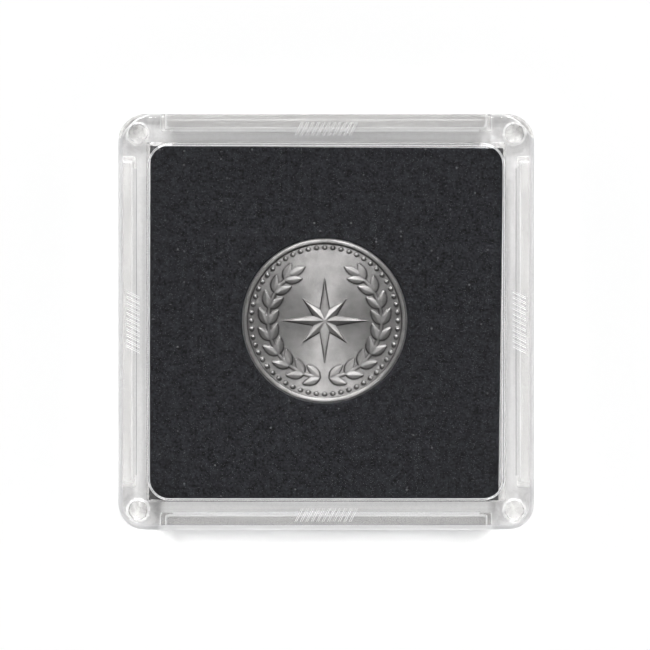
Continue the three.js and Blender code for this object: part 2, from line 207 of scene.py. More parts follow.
def moulding_group():
    """Flow lines of a square moulding: streaks along each side, and swirls where two sides meet."""
    group, given, out = new_group(
        "moulding_flow",
        {"Streak Scale": 1200.0, "Swirl Scale": 500.0, "Swirl Strength": 1.0, "Corner Start": 0.021},
        ["Flow"],
    )
    size = vector_node(group, "ABSOLUTE", given.outputs["Vector"])
    split = new_node(group, "SeparateXYZ", Vector=size.outputs["Vector"])
    outward = math_node(group, "MAXIMUM", split.outputs["X"], split.outputs["Y"])
    along = math_node(group, "MINIMUM", split.outputs["X"], split.outputs["Y"])
    line = new_node(group, "CombineXYZ", X=outward, Y=math_node(group, "MULTIPLY", along, 0.02))
    streaks = noise(group, line.outputs["Vector"], given.outputs["Streak Scale"], detail=2.0)
    swirls = new_node(group, "TexNoise", Detail=1.0, Distortion=2.5)
    feed(group, swirls, Vector=given.outputs["Vector"], Scale=given.outputs["Swirl Scale"])
    departure = math_node(group, "SUBTRACT", swirls.outputs["Fac"], 0.5)
    stronger = math_node(group, "MULTIPLY", departure, given.outputs["Swirl Strength"])
    corner = math_node(group, "SUBTRACT", along, given.outputs["Corner Start"])
    blend = new_node(group, "Mix", A=streaks, B=math_node(group, "ADD", stronger, 0.5))
    feed(group, blend, Factor=ranged(group, corner, low=0.0, high=0.0012))
    feed(group, out, Flow=blend.outputs["Result"])
    return group


HANDLING = handling_group()
SPECKS = specks_group()
MOULDING = moulding_group()
print("node groups:", HANDLING.name, SPECKS.name, MOULDING.name)

# %% [markdown]
# ## Clear plastic, its other finishes and their painted glow
# Polystyrene is Principled glass with its own index of refraction. A path tracer's lamps can't find their
# way through glass, so rays that ask for a lamp pass a Transparent shader instead, chosen by Light Path.
# Light that would leave through an upright wall is bent away in the real part, so there the Transparent
# shader is darker.
#
# One clear material isn't enough for a moulding. Its raised frame has gone hazy, its small radii gather
# light and look white, and its parting faces aren't polished. Traced caustics would take very many samples,
# so each of these finishes is a material of its own. The pale ones glow a little: their pale colour and glow
# are a painted highlight in place of the light that the small radii and parting faces gather.

# %% Material helpers
def new_material(name):
    material = bpy.data.materials.new(name)
    material.use_nodes = True
    tree = material.node_tree
    place = new_node(tree, "TexCoord").outputs["Object"]
    return material, tree, tree.nodes["Principled BSDF"], place


def use_group(tree, group, place, **values):
    """Places a node group in a material with its own values."""
    node = new_node(tree, "Group")
    node.node_tree = group
    feed(tree, node, Vector=place, **values)
    return node


def bump(tree, shader, height, strength, distance):
    node = new_node(tree, "Bump", Strength=strength, Distance=distance, Height=height)
    feed(tree, shader, Normal=node.outputs["Normal"])


def mixed_shader(tree, factor, first, second):
    node = new_node(tree, "MixShader")
    for socket, value in zip(node.inputs, (factor, first, second)):
        tree.links.new(value, socket)
    return node.outputs["Shader"]


def let_lamps_through(tree, shader, share):
    """Rays that ask for a lamp see a Transparent shader, which passes this share of its light, and all
    others see the plastic. The share is a colour or comes from a socket."""
    passing = new_node(tree, "BsdfTransparent", Color=share)
    asks_for_lamp = new_node(tree, "LightPath").outputs["Is Shadow Ray"]
    surface = mixed_shader(tree, asks_for_lamp, shader.outputs["BSDF"], passing.outputs["BSDF"])
    feed(tree, tree.nodes["Material Output"], Surface=surface)


# %% The clear plastic
PLASTIC_IOR = 1.59
FACE_SHARE = (0.98, 0.98, 0.98)


def plastic_marks(tree, place):
    return use_group(tree, HANDLING, place, Hairline_Scale=1400.0, Smudge_Scale=90.0)


def clear_plastic(name, wall_share):
    """Clear polystyrene. Where a lamp's light leaves through an upright wall, wall_share of it passes."""
    material, tree, shader, place = new_material(name)
    feed(tree, shader, Base_Color=(0.85, 0.848, 0.85, 1.0), Transmission_Weight=1.0, IOR=PLASTIC_IOR)
    marks = plastic_marks(tree, place)
    hairlines = math_node(tree, "MULTIPLY", marks.outputs["Hairlines"], 0.05)
    smudges = math_node(tree, "MULTIPLY", marks.outputs["Smudges"], 0.02)
    total = math_node(tree, "ADD", math_node(tree, "ADD", hairlines, smudges), 0.012)
    feed(tree, shader, Roughness=total)
    waves = noise(tree, place, 90.0, detail=2.0)
    bump(tree, shader, waves, strength=0.1, distance=0.1 * MM)
    facing = new_node(tree, "NewGeometry").outputs
    size = vector_node(tree, "ABSOLUTE", facing["True Normal"])
    upright = vector_node(tree, "DOT_PRODUCT", size.outputs["Vector"], (1.0, 1.0, 0.0)).outputs["Value"]
    leaving = math_node(tree, "MULTIPLY", upright, facing["Backfacing"])
    let_lamps_through(tree, shader, mixed_colour(tree, leaving, FACE_SHARE, (wall_share,) * 3))
    return material


BACK_CLEAR = clear_plastic("clear back", wall_share=0.12)
print("the back cover's clear plastic:", BACK_CLEAR.name)

# %% The hazy frame and the pale finishes with their painted glow
# The painted glow of the lower edge fades in between these two heights, and between these two places across.
LOWER_EDGE = (-21.5, -22.5)
BETWEEN_POSTS = (21.8, 20.8)


def hazy_frame():
    """The raised frame: its polished face has gone a little hazy with use, and shows the moulding's flow."""
    material, tree, shader, place = new_material("hazy frame face")
    flow = use_group(
        tree, MOULDING, place,
        Streak_Scale=1500.0, Swirl_Scale=420.0, Swirl_Strength=3.5, Corner_Start=0.0212,
    ).outputs["Flow"]
    hazy, clean = (0.764, 0.758, 0.75), (0.953, 0.947, 0.935)
    tone = mixed_colour(tree, ranged(tree, flow, low=0.35, high=0.68), hazy, clean)
    smudges = plastic_marks(tree, place).outputs["Smudges"]
    rough = ranged(tree, smudges, low=0.0, high=1.0, to_low=0.03, to_high=0.12)
    feed(tree, shader, Base_Color=tone, Roughness=rough, Transmission_Weight=0.9, IOR=PLASTIC_IOR)
    bump(tree, shader, flow, strength=0.15, distance=0.1 * MM)
    let_lamps_through(tree, shader, (*FACE_SHARE, 1.0))
    return material


def cool_grey(level):
    return (level, level, level + 0.01)


def pale_painted_glow(name, glow, share=1.0, lower_share=1.0, level=0.67):
    """A fine-grained pale surface whose glow is a painted highlight, with this share of it on most of the
    holder.
    The lower edge, between the posts, has a lower_share of its own: painted light in place of the light that
    runs down through the plastic."""
    material, tree, shader, place = new_material(name)
    grain = noise(tree, place, 2500.0, detail=2.0)
    shade = ranged(tree, grain, low=0.3, high=0.7)
    tone = mixed_colour(tree, shade, cool_grey(level - 0.05), cool_grey(level + 0.05))
    rough = ranged(tree, grain, low=0.3, high=0.7, to_low=0.4, to_high=0.55)
    feed(tree, shader, Base_Color=tone, Roughness=rough, Transmission_Weight=0.7, IOR=PLASTIC_IOR)
    split = new_node(tree, "SeparateXYZ", Vector=place)
    lower = ranged(tree, split.outputs["Y"], *(MM * y for y in LOWER_EDGE))
    off_middle = math_node(tree, "ABSOLUTE", split.outputs["X"])
    between = ranged(tree, off_middle, *(MM * x for x in BETWEEN_POSTS))
    at_lower_edge = math_node(tree, "MULTIPLY", lower, between)
    shares = mixed_colour(tree, at_lower_edge, (share,) * 3, (lower_share,) * 3)
    feed(tree, shader, Emission_Color=shares, Emission_Strength=glow)
    let_lamps_through(tree, shader, (0.9, 0.9, 0.9, 1.0))
    return material


# %% One slot for each finish of a cover
# The pale finishes' colour and glow are a painted highlight. The parting faces and the rim glow most along
# the lower edge.
PLASTICS = [
    clear_plastic("clear front", wall_share=0.75),
    pale_painted_glow("small edges with painted bright glow", glow=0.32),
    pale_painted_glow("small edges with soft painted glow", glow=0.13, lower_share=0.0),
    hazy_frame(),
    pale_painted_glow("matt parting face with painted glow", glow=0.31, share=0.03, level=0.59),
    clear_plastic("clear tongue ends", wall_share=0.9),
    pale_painted_glow("rounded rim with painted highlight", glow=0.28, share=0.08, level=0.69),
]
CLEAR, BRIGHT, SOFT, HAZY, MATT, END, RIM = range(len(PLASTICS))
print("plastic slots:", [material.name for material in PLASTICS])

# %% [markdown]
# ## Lofting
# A moulded part is mostly rounded squares that change size with height. A box with a Bevel modifier would
# round all its edges alike, so one helper joins rings of points into a closed skin. Each ring has the same
# number of points, which keeps the faces regular and lets the edges be rounded in the profile itself.

# %% Rings and lofts
def rounded_rectangle(x0, x1, y0, y1, radius, z, steps=12):
    left, right, low, high = x0 + radius, x1 - radius, y0 + radius, y1 - radius
    centres = [(right, high), (left, high), (left, low), (right, low)]
    points = []
    for corner, (x, y) in enumerate(centres):
        for step in range(steps + 1):
            angle = (corner + step / steps) * math.pi / 2
            points.append((x + radius * math.cos(angle), y + radius * math.sin(angle), z))
    return points


def rounded_square(half, radius, z, steps=12):
    return rounded_rectangle(-half, half, -half, half, radius, z, steps)


def circle(x, y, radius, z, steps=48):
    angles = [2 * math.pi * step / steps for step in range(steps)]
    return [(x + radius * math.cos(a), y + radius * math.sin(a), z) for a in angles]


def new_piece(name, points, faces):
    """A mesh object from points in millimetres."""
    mesh = bpy.data.meshes.new(name)
    mesh.from_pydata([tuple(MM * value for value in point) for point in points], [], faces)
    piece = bpy.data.objects.new(name, mesh)
    bpy.context.scene.collection.objects.link(piece)
    return piece


def loft(name, rings, bright=(), soft=()):
    """A closed mesh through rings of points in millimetres, from the lowest ring to the highest.
    The faces above the rings that bright and soft number are small edges with these painted glows."""
    count = len(rings[0])
    points = [point for ring in rings for point in ring]
    faces = [tuple(reversed(range(count)))]
    for level in range(len(rings) - 1):
        start = level * count
        for i in range(count):
            j = (i + 1) % count
            faces.append((start + i, start + j, start + count + j, start + count + i))
    faces.append(tuple(range(len(points) - count, len(points))))
    piece = new_piece(name, points, faces)
    for material in PLASTICS:
        piece.data.materials.append(material)
    for slot, levels in ((BRIGHT, bright), (SOFT, soft)):
        for level in levels:
            for i in range(count):
                piece.data.polygons[1 + level * count + i].material_index = slot
    return piece


trial = loft("trial_block", [rounded_square(5, 1, z) for z in (0, 2)])
print("a lofted block has", len(trial.data.polygons), "faces")
bpy.data.objects.remove(trial)

# %% [markdown]
# ## Joining and cutting
# The covers need rooms for the tongues, grooves and sockets. A Boolean modifier with the exact solver joins
# or cuts one lofted solid with another, and its result is written into the mesh, so that the tools can be
# deleted. Such cuts can leave a point twice, a tenth of a micron apart, so the skin is closed again after
# the last one.

# %% Joining, cutting and copying round the four sides
def settled(piece):
    """Writes the result of a piece's modifiers into its mesh."""
    graph = bpy.context.evaluated_depsgraph_get()
    mesh = bpy.data.meshes.new_from_object(piece.evaluated_get(graph))
    piece.modifiers.clear()
    piece.data = mesh
    return piece


def combine(piece, tools, operation):
    for tool in tools:
        step = piece.modifiers.new(operation.lower(), "BOOLEAN")
        step.solver = "EXACT"
        step.operation = operation
        step.object = tool
        settled(piece)
        bpy.data.objects.remove(tool)
    return piece


def on_four_sides(make):
    """The solid that make() builds at +Y, or in the corner at +X and +Y, on each of the four sides."""
    turned = []
    for side in range(4):
        tool = make()
        tool.data.transform(Matrix.Rotation(side * math.pi / 2, 4, "Z"))
        turned.append(tool)
    return turned


def along_x(name, profile, length):
    """A prism whose edges have the soft painted glow, swept along X from (y, z) points that run
    anticlockwise seen from +X.
    """
    return loft(name, [[(x, y, z) for y, z in profile] for x in (-length / 2, length / 2)], soft=(0,))


# %% Finishing a cut skin
CRISP_ANGLE = 32


def closed(piece, reach=1e-7):
    """Merges the points that the cuts left twice, so that the skin has no open edge."""
    skin = bmesh.new()
    skin.from_mesh(piece.data)
    bmesh.ops.remove_doubles(skin, verts=skin.verts, dist=reach)
    bmesh.ops.dissolve_degenerate(skin, dist=reach, edges=skin.edges)
    print(piece.name, "has", sum(not edge.is_manifold for edge in skin.edges), "open edges")
    skin.to_mesh(piece.data)
    skin.free()
    return piece


def smooth(piece):
    for polygon in piece.data.polygons:
        polygon.use_smooth = True
    return piece


def crisp_and_smooth(piece):
    """Rounded forms are shaded smooth and real edges stay crisp, with the flats' normals left flat."""
    smooth(piece)
    piece.data.set_sharp_from_angle(angle=math.radians(CRISP_ANGLE))
    normals = piece.modifiers.new("flat_normals", "WEIGHTED_NORMAL")
    normals.mode = "FACE_AREA"
    normals.weight = 100
    normals.keep_sharp = True
    return piece


# %% [markdown]
# ## The clear covers
# Each cover is one injection moulding. Both share a windowed plate: a raised frame with a rounded outer
# edge, and a window that lies a little lower, so that holders stack. The step down to the window is steep
# and rounded at its top and foot, and its rounded faces carry the bright painted glow that draws the thin
# bright line round the foam. The plate is lofted on its outer face, and the window is cut into it from
# there.

# %% The windowed plate that both covers share
FRAME_FLAT = 3.9
BEVEL_WIDTH = 0.15
RECESS = 0.6
WINDOW = 1.35
WINDOW_CORNER = 2.5
WINDOW_HALF = OUTER_HALF - FRAME_FLAT - BEVEL_WIDTH
PAD_TOP = RECESS + WINDOW
EDGE_STEPS = 10
# The step to the window is rounded over this depth at its top and foot, with a point nearer the end.
STEP_ROUND, STEP_NICK = 0.07, 0.02


def windowed_plate(name, pad_half):
    """Lies on its outer face, with the recess cut from below and the window's pad on top."""
    rings = []
    for step in range(EDGE_STEPS + 1):
        angle = step / EDGE_STEPS * math.pi / 2
        inset = OUTER_EDGE * (1 - math.sin(angle))
        height = OUTER_EDGE * (1 - math.cos(angle))
        rings.append(rounded_square(OUTER_HALF - inset, OUTER_CORNER - inset, height))
    for inset in (0, FINGERNAIL):
        rings.append(rounded_square(OUTER_HALF - inset, OUTER_CORNER - inset, PLATE - FINGERNAIL + inset))
    plate = loft(name, rings)
    pad = loft("pad", [rounded_square(pad_half, CAVITY_CORNER, z, steps=4) for z in (PLATE / 2, PAD_TOP)])
    wall = BEVEL_WIDTH
    slope = [(2 * wall, -0.5 * RECESS), (1.35 * wall, -0.004), (1.12 * wall, STEP_NICK), (wall, STEP_ROUND)]
    slope += [(0.35 * wall, RECESS - STEP_ROUND), (0.15 * wall, RECESS - STEP_NICK), (0, RECESS)]
    steps = [rounded_square(WINDOW_HALF + out, WINDOW_CORNER + out, depth) for out, depth in slope]
    combine(plate, [pad], "UNION")
    return combine(plate, [loft("recess", steps, bright=(1, 2, 4, 5))], "DIFFERENCE")


# %% [markdown]
# The snap lock closes by small forms: a half-round bead along each tongue enters a groove in the ring wall,
# and a round peg under each post enters a socket in the back cover. Each is a short profile, swept along
# its side or turned round its axis.

# %% Beads, pegs and sockets
PEG_RADIUS = 1.25
PEG_LENGTH = 0.8
PEG_CHAMFER = 0.2
PEG_GAP = 0.15
PEG_INSET = 2.4
PEG_PLACE = OUTER_HALF - PEG_INSET
SOCKET_CHAMFER = 0.12
ROOT_GROOVE = 0.3
BEAD_STEPS = 12
OVERCUT = 0.1


def bead_profile(y, height, width):
    """The half-round section of a snap bead that stands off the plane at y towards -Y."""
    points = [(y + height, BEAD_Z - width / 2)]
    for step in range(BEAD_STEPS + 1):
        angle = step / BEAD_STEPS * math.pi
        points.append((y - height * math.sin(angle), BEAD_Z - width / 2 * math.cos(angle)))
    points.append((y + height, BEAD_Z + width / 2))
    return points[::-1]


def round_each_corner(name, spans, bright=()):
    """A round solid on the peg's axis in each corner, through (radius, height) pairs."""
    return on_four_sides(lambda: loft(name, [circle(PEG_PLACE, PEG_PLACE, r, z) for r, z in spans], bright))


def corner_pegs():
    """Chamfered pegs that reach as far into the posts as they stand out of them."""
    low, nick = POST_BOTTOM - PEG_LENGTH, 0.3 * PEG_CHAMFER
    spans = [(PEG_RADIUS - PEG_CHAMFER, low), (PEG_RADIUS - nick, low + nick)]
    spans += [(PEG_RADIUS, low + PEG_CHAMFER), (PEG_RADIUS, POST_BOTTOM + PEG_LENGTH)]
    return round_each_corner("peg", spans)


def root_grooves():
    """Cutters for a groove with the bright painted glow round each peg's root, which lets the post sit flat
    on the back cover.
    """
    wide = PEG_RADIUS + ROOT_GROOVE
    spans = [(wide, POST_BOTTOM - OVERCUT), (wide, POST_BOTTOM)]
    spans.append((PEG_RADIUS - OVERCUT, POST_BOTTOM + ROOT_GROOVE))
    return round_each_corner("root", spans, bright=(1,))


def corner_sockets():
    """Cutters for the pegs' sockets, which open into a small chamfer."""
    radius, floor = PEG_RADIUS + PEG_GAP, POST_BOTTOM - PEG_LENGTH - PARTING_GAP
    spans = [(radius, floor), (radius, PLATE - SOCKET_CHAMFER), (radius + SOCKET_CHAMFER, PLATE)]
    spans.append((radius + SOCKET_CHAMFER, POST_BOTTOM))
    return round_each_corner("socket", spans)


print(f"pegs {2 * PEG_RADIUS:.1f} mm across at {PEG_PLACE:.1f} mm from the middle")

# %% [markdown]
# Faces keep their finish through the cuts. The haze, the rim's painted highlight and the parting faces' matt
# finish with its painted glow are handed out after them, by where a face lies and how it tilts: 0 for an
# upright face, 1 for a flat one.

# %% Finishes by place
FLAT_TILT = 0.9
FACE_TILT = 0.3
RIM_TILTS = (0.05, 0.985)
TOP_SIDE = 0.12
NEAR = 0.01


def haze_the_frame(cover, outward):
    """Gives the frame's outer face, which lies outwards along Z, the hazy finish. The front cover's rounded
    edge gets the pale rim with its painted highlight, but not along the top side, whose light goes down into
    the plastic."""
    inner = (WINDOW_HALF + BEVEL_WIDTH) * MM
    face = (HOLDER_TOP if outward > 0 else 0) * MM
    points = cover.data.vertices
    for polygon in cover.data.polygons:
        reach = max(max(abs(points[v].co.x), abs(points[v].co.y)) for v in polygon.vertices)
        near_face = abs(polygon.center.z - face) < OUTER_EDGE * MM
        if polygon.material_index == CLEAR and reach > inner and near_face:
            tilt = polygon.normal.z * outward
            rounded = RIM_TILTS[0] < tilt < RIM_TILTS[1]
            if outward > 0 and rounded and polygon.normal.y < TOP_SIDE:
                polygon.material_index = RIM
            elif tilt > FACE_TILT:
                polygon.material_index = HAZY


def make_the_feet_matt_and_glowing(cover):
    """The parting faces under the posts and the ring wall aren't polished. They also get a pale colour and a
    painted glow, strongest along the lower edge, which make them look lighter.
    """
    for polygon in cover.data.polygons:
        if polygon.normal.z < -FLAT_TILT and abs(polygon.center.z - POST_BOTTOM * MM) < NEAR * MM:
            polygon.material_index = MATT


# %% [markdown]
# ### Front cover
# It carries the four corner posts, the ring wall round the foam, and the groove that the tongues' beads
# snap into. The room for each tongue is cut from the side between two posts, and its roof has a fine edge
# with the bright painted glow. Slanted grooves give each rail a fingertip grip.

# %% Cutters for the tongues' rooms and the grip
ROOM_EDGE = 0.12
GRIP_COUNT = 11
GRIP_PITCH = 0.7
GRIP_WIDTH = 0.3
GRIP_LENGTH = 1.7
GRIP_DEPTH = 0.15
GRIP_SLANT = 0.85
GRIP_INSET = 1.95
GRIP_FLARE = 0.4


def tongue_room():
    half = TONGUE_HALF + TONGUE_GAP
    spans = ((0, 0), (0, FRONT_PLATE_BOTTOM - ROOM_EDGE), (ROOM_EDGE, FRONT_PLATE_BOTTOM))
    return loft("room", [
        rounded_rectangle(inset - half, half - inset, RING_OUTER, OUTER_HALF + TONGUE, TONGUE_CORNER, z, 5)
        for inset, z in spans
    ], bright=(1,))


def grip_groove(number):
    """One slanted groove in the rail at +Y, a little wider at the top than at its floor."""
    x = (number - (GRIP_COUNT - 1) / 2) * GRIP_PITCH
    middle = OUTER_HALF - GRIP_INSET

    def outline(width, z):
        corners = [(-GRIP_SLANT - width, -1), (-GRIP_SLANT + width, -1)]
        corners += [(GRIP_SLANT + width, 1), (GRIP_SLANT - width, 1)]
        return [(x + a / 2, middle + b * GRIP_LENGTH / 2, z) for a, b in corners]

    floor = outline((1 - GRIP_FLARE) * GRIP_WIDTH, HOLDER_TOP - GRIP_DEPTH)
    mouth = outline((1 + GRIP_FLARE) * GRIP_WIDTH, HOLDER_TOP + GRIP_DEPTH)
    return loft("groove", [floor, mouth], bright=(0,))


print(GRIP_COUNT, "grip grooves on each rail,", GRIP_PITCH, "mm apart")

# %% Build the front cover
GROOVE_GAP = 0.1


def build_front_cover():
    cover = windowed_plate("clear_front_cover", CAVITY_HALF)
    turned_over = Matrix.Rotation(math.pi, 4, "X")
    cover.data.transform(Matrix.Translation((0, 0, HOLDER_TOP * MM)) @ turned_over)
    heights = (POST_BOTTOM, FRONT_PLATE_BOTTOM + FINGERNAIL)
    walls = loft("walls", [rounded_square(OUTER_HALF, OUTER_CORNER, z) for z in heights])
    combine(cover, [walls], "UNION")
    heights = (0, HOLDER_TOP - PAD_TOP)
    cavity = loft("cavity", [rounded_square(CAVITY_HALF, CAVITY_CORNER, z, steps=4) for z in heights])
    groove = bead_profile(RING_OUTER, BEAD_HEIGHT, BEAD_WIDTH + 2 * GROOVE_GAP)
    length = 2 * (TONGUE_HALF - BEAD_MARGIN) + 2 * GROOVE_GAP
    cutters = [cavity, *on_four_sides(tongue_room)]
    cutters += on_four_sides(lambda: along_x("groove", groove, length)) + root_grooves()
    for number in range(GRIP_COUNT):
        cutters += on_four_sides(lambda: grip_groove(number))
    combine(cover, cutters, "DIFFERENCE")
    return combine(cover, corner_pegs(), "UNION")


front_cover = crisp_and_smooth(closed(build_front_cover()))
haze_the_frame(front_cover, 1)
make_the_feet_matt_and_glowing(front_cover)
print("front cover:", len(front_cover.data.polygons), "faces")

# %% [markdown]
# ### Back cover
# It carries the four tongues. Each stands flush with the outer face, has a rounded lead-in round its top,
# and a half-round bead along its inner face.

# %% Build the back cover
LEAD_IN = 0.3
PAD_GAP = 0.15


def tongue():
    """Its lead-in is a quarter round in three flats, with a painted glow, soft along the sides and bright at
    the ends.
    """
    def ring(inset, z):
        x, inner, outer = TONGUE_HALF - inset, TONGUE_INNER + inset, OUTER_HALF - inset
        return rounded_rectangle(-x, x, inner, outer, TONGUE_CORNER, z, 5)

    little, half = 0.13 * LEAD_IN, 0.5 * LEAD_IN
    spans = [(0, OUTER_EDGE), (0, TONGUE_TOP - LEAD_IN), (little, TONGUE_TOP - half)]
    spans += [(half, TONGUE_TOP - little), (LEAD_IN, TONGUE_TOP)]
    solid = loft("tongue", [ring(inset, z) for inset, z in spans], bright=(1, 2, 3))
    for polygon in solid.data.polygons:
        at_end = abs(polygon.normal.x) > 0.5
        if polygon.material_index == CLEAR and at_end:
            polygon.material_index = END
        elif polygon.material_index == BRIGHT and not at_end:
            polygon.material_index = SOFT
    return solid


def build_back_cover():
    cover = windowed_plate("clear_back_cover", CAVITY_HALF - PAD_GAP)
    bead = bead_profile(TONGUE_INNER, BEAD_HEIGHT, BEAD_WIDTH)
    length = 2 * (TONGUE_HALF - BEAD_MARGIN)
    combine(cover, on_four_sides(tongue), "UNION")
    combine(cover, on_four_sides(lambda: along_x("bead", bead, length)), "UNION")
    return combine(cover, corner_sockets(), "DIFFERENCE")


back_cover = crisp_and_smooth(closed(build_back_cover()))
back_cover.data.materials[CLEAR] = BACK_CLEAR
haze_the_frame(back_cover, -1)
print("back cover:", len(back_cover.data.polygons), "faces")

# %% Hand the covers to their bodies
for cover, body in ((front_cover, "front_cover"), (back_cover, "back_cover")):
    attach(cover, body)
    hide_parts(body)
print("in place:", front_cover.name, back_cover.name)

# %% [markdown]
# ## Foam insert
# It is die-cut from a sheet of fine black foam: crisp edges that pull in a little, a round hole for the
# coin, and a napped surface. A box with a Boolean hole would have large faces that nothing can roughen, so
# the skin is one grid that runs round the hole and across the four faces of the ring, and a small
# displacement raises the nap. The corners are given one by one, because the foam is cut a little out of
# square.

# %% The foam's outline and section
HOLE_GAP = 0.1
HOLE_RADIUS = coin_high.x + HOLE_GAP
COIN_SHIFT = Vector((-0.2, 0.15, 0.0))
CUT_CORNERS = {
    (-1, -1): (-22.88, -22.95), (1, -1): (22.25, -23.05),
    (1, 1): (22.9, 22.45), (-1, 1): (-22.72, 22.74),
}
CUT_EDGE = 0.12
ROUND = 512
ACROSS = 46


def cut_outline():
    """Evenly spaced points round the sharp-cornered cut, starting at its lower right corner."""
    steps = [-1 + 2 * i / (ROUND // 4) for i in range(ROUND // 4)]
    right, top = [(1, s) for s in steps], [(-s, 1) for s in steps]
    left, bottom = [(-1, -s) for s in steps], [(s, -1) for s in steps]
    u, v = np.array(right + top + left + bottom).T
    return sum(
        np.outer((1 + side * u) * (1 + end * v) / 4, corner) for (side, end), corner in CUT_CORNERS.items()
    )


def foam_section(low, high, edge):
    """The ring's cross-section as (share of the way from the hole to the outside, height) points."""
    nick, rise, middle = 0.3 * edge, 0.3 * CUT_EDGE, (low + high) / 2
    across = [edge + (1 - 2 * edge) * k / ACROSS for k in range(ACROSS + 1)]
    top = [(share, high) for share in across]
    bottom = [(share, low) for share in reversed(across)]
    inner = [(nick, low + rise), (0, low + CUT_EDGE), (0, middle), (0, high - CUT_EDGE), (nick, high - rise)]
    outer = [(1 - nick, high - rise), (1, high - CUT_EDGE), (1, middle), (1, low + CUT_EDGE)]
    outer.append((1 - nick, low + rise))
    return inner + top + outer + bottom


# %% Build the foam
def band(a, b, count):
    """The faces between two rings of count points, of which a and b are the first."""
    return [(a + (i + 1) % count, a + i, b + i, b + (i + 1) % count) for i in range(count)]


def foam_insert():
    outline = cut_outline()
    hole = outline / np.hypot(outline[:, 0], outline[:, 1])[:, None] * HOLE_RADIUS + np.array(COIN_SHIFT[:2])
    section = foam_section(insert_low.z, insert_high.z, CUT_EDGE / (insert_high.x - HOLE_RADIUS))
    points = []
    for share, z in section:
        flat = hole * (1 - share) + outline * share
        points += [(x, y, z) for x, y in flat]
    faces = []
    for level in range(len(section)):
        faces += band(level * ROUND, (level + 1) % len(section) * ROUND, ROUND)
    return smooth(new_piece("black_foam_insert", points, faces))


foam = foam_insert()
nap = bpy.data.textures.new("nap", "CLOUDS")
nap.noise_scale = 0.45 * MM
nap.noise_depth = 2
napped = foam.modifiers.new("napped_skin", "DISPLACE")
napped.texture = nap
napped.texture_coords = "LOCAL"
napped.strength = 0.06 * MM
napped.mid_level = 0.75
settled(foam)
print("foam:", len(foam.data.polygons), "faces")

# %% The foam's finish
def black_foam():
    """Nearly black, with a fine grain, coarser patches and a few paler specks of fibre and dust."""
    material, tree, shader, place = new_material("black foam")
    grain = noise(tree, place, 3000.0, detail=3.0, roughness=0.65)
    patches = noise(tree, place, 900.0, detail=4.0, roughness=0.7)
    grain_share = math_node(tree, "MULTIPLY", grain, 0.6)
    both = math_node(tree, "ADD", grain_share, math_node(tree, "MULTIPLY", patches, 0.4))
    pits, tips, fibre = (0.001, 0.0011, 0.0015), (0.0268, 0.0275, 0.0318), (0.11, 0.113, 0.116)
    base = mixed_colour(tree, ranged(tree, both, low=0.4, high=0.62), pits, tips)
    specks = use_group(tree, SPECKS, place, Scale=1250.0, Size=0.2, Share=0.1)
    colour = mixed_colour(tree, specks.outputs["Specks"], base, fibre)
    feed(tree, shader, Base_Color=colour, Roughness=0.92, Specular_IOR_Level=0.15)
    bump(tree, shader, both, strength=0.8, distance=0.15 * MM)
    return material


foam.data.materials.append(black_foam())
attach(foam, "foam_insert")
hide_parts("foam_insert")

# %% [markdown]
# ## Coin
# A coin is struck, so its relief is soft at the edges and has no undercuts: a height over a flat field
# describes it fully, and nothing has to be sculpted. The height is worked out with arrays over a polar
# grid: a rim, a ring of beads, two laurel branches and a faceted star on the front, and a rosette on the
# back.

# %% Relief shapes
COIN_RADIUS = coin_high.x
FIELD_DEPTH = 0.28
FIELD_RADIUS = COIN_RADIUS - 0.7
BEAD_RING = FIELD_RADIUS - 0.42
WREATH = BEAD_RING - 2.15
RELIEF_EDGE = 0.12
TINY = 1e-6


def soft_step(value, width):
    """0 below and 1 above zero, with a smooth rise as wide as width."""
    share = np.clip(value / width + 0.5, 0, 1)
    return share ** 2 * (3 - 2 * share)


def dome(x, y, radius, height):
    return height * np.sqrt(np.clip(1 - (np.hypot(x, y) / radius) ** 2, 0, 1))


def bead_ring(x, y, count=56):
    pitch = 2 * math.pi / count
    nearest = np.round(np.arctan2(x, -y) / pitch) * pitch
    dx, dy = x - BEAD_RING * np.sin(nearest), y + BEAD_RING * np.cos(nearest)
    return dome(dx, dy, radius=0.26, height=0.18)


def leaf_relief(x, y, centre, heading, length, width, height=0.2):
    """A pointed leaf with a crisp outline and a ridge down its middle."""
    dx, dy = x - centre[0], y - centre[1]
    along = (dx * math.cos(heading) + dy * math.sin(heading)) / (length / 2)
    off = np.abs(-dx * math.sin(heading) + dy * math.cos(heading))
    half_width = width / 2 * np.clip(1 - along ** 2, 0, 1) ** 0.8 * (1 - 0.25 * along)
    inside = soft_step(half_width - off, RELIEF_EDGE) * (np.abs(along) < 1)
    ridge = 1 - np.clip(off / np.maximum(half_width, TINY), 0, 1)
    return height * inside * (0.5 + 0.5 * ridge)


# %% The star, the wreath and the rosette
LONG_POINT = WREATH - 1.9
SHORT_POINT = WREATH - 3.4
STAR_VALLEY = 1.6
STAR_HEIGHT = 0.26
STEM_HALF = 0.2
STEM_HEIGHT = 0.11
PETALS = 12
PETAL_PLACE = 3.7


def star_relief(x, y, points=8):
    """Long and short points in turn, each with a ridge to its tip."""
    angle, radius = np.arctan2(y, x), np.hypot(x, y)
    pitch = 2 * math.pi / points
    number = np.round(angle / pitch)
    reach = np.where(number % 2 == 0, LONG_POINT, SHORT_POINT)
    local = angle - number * pitch
    along, off = radius * np.cos(local), np.abs(radius * np.sin(local))
    valley_x, valley_y = STAR_VALLEY * math.cos(pitch / 2), STAR_VALLEY * math.sin(pitch / 2)
    edge = (reach - along) * valley_y / (reach - valley_x)
    ridge = np.clip((edge - off) / np.maximum(edge, TINY), 0, 1)
    falling = 0.45 + 0.55 * np.clip(1 - along / reach, 0, 1)
    return STAR_HEIGHT * soft_step(edge - off, width=0.14) * (0.35 + 0.65 * ridge) * falling


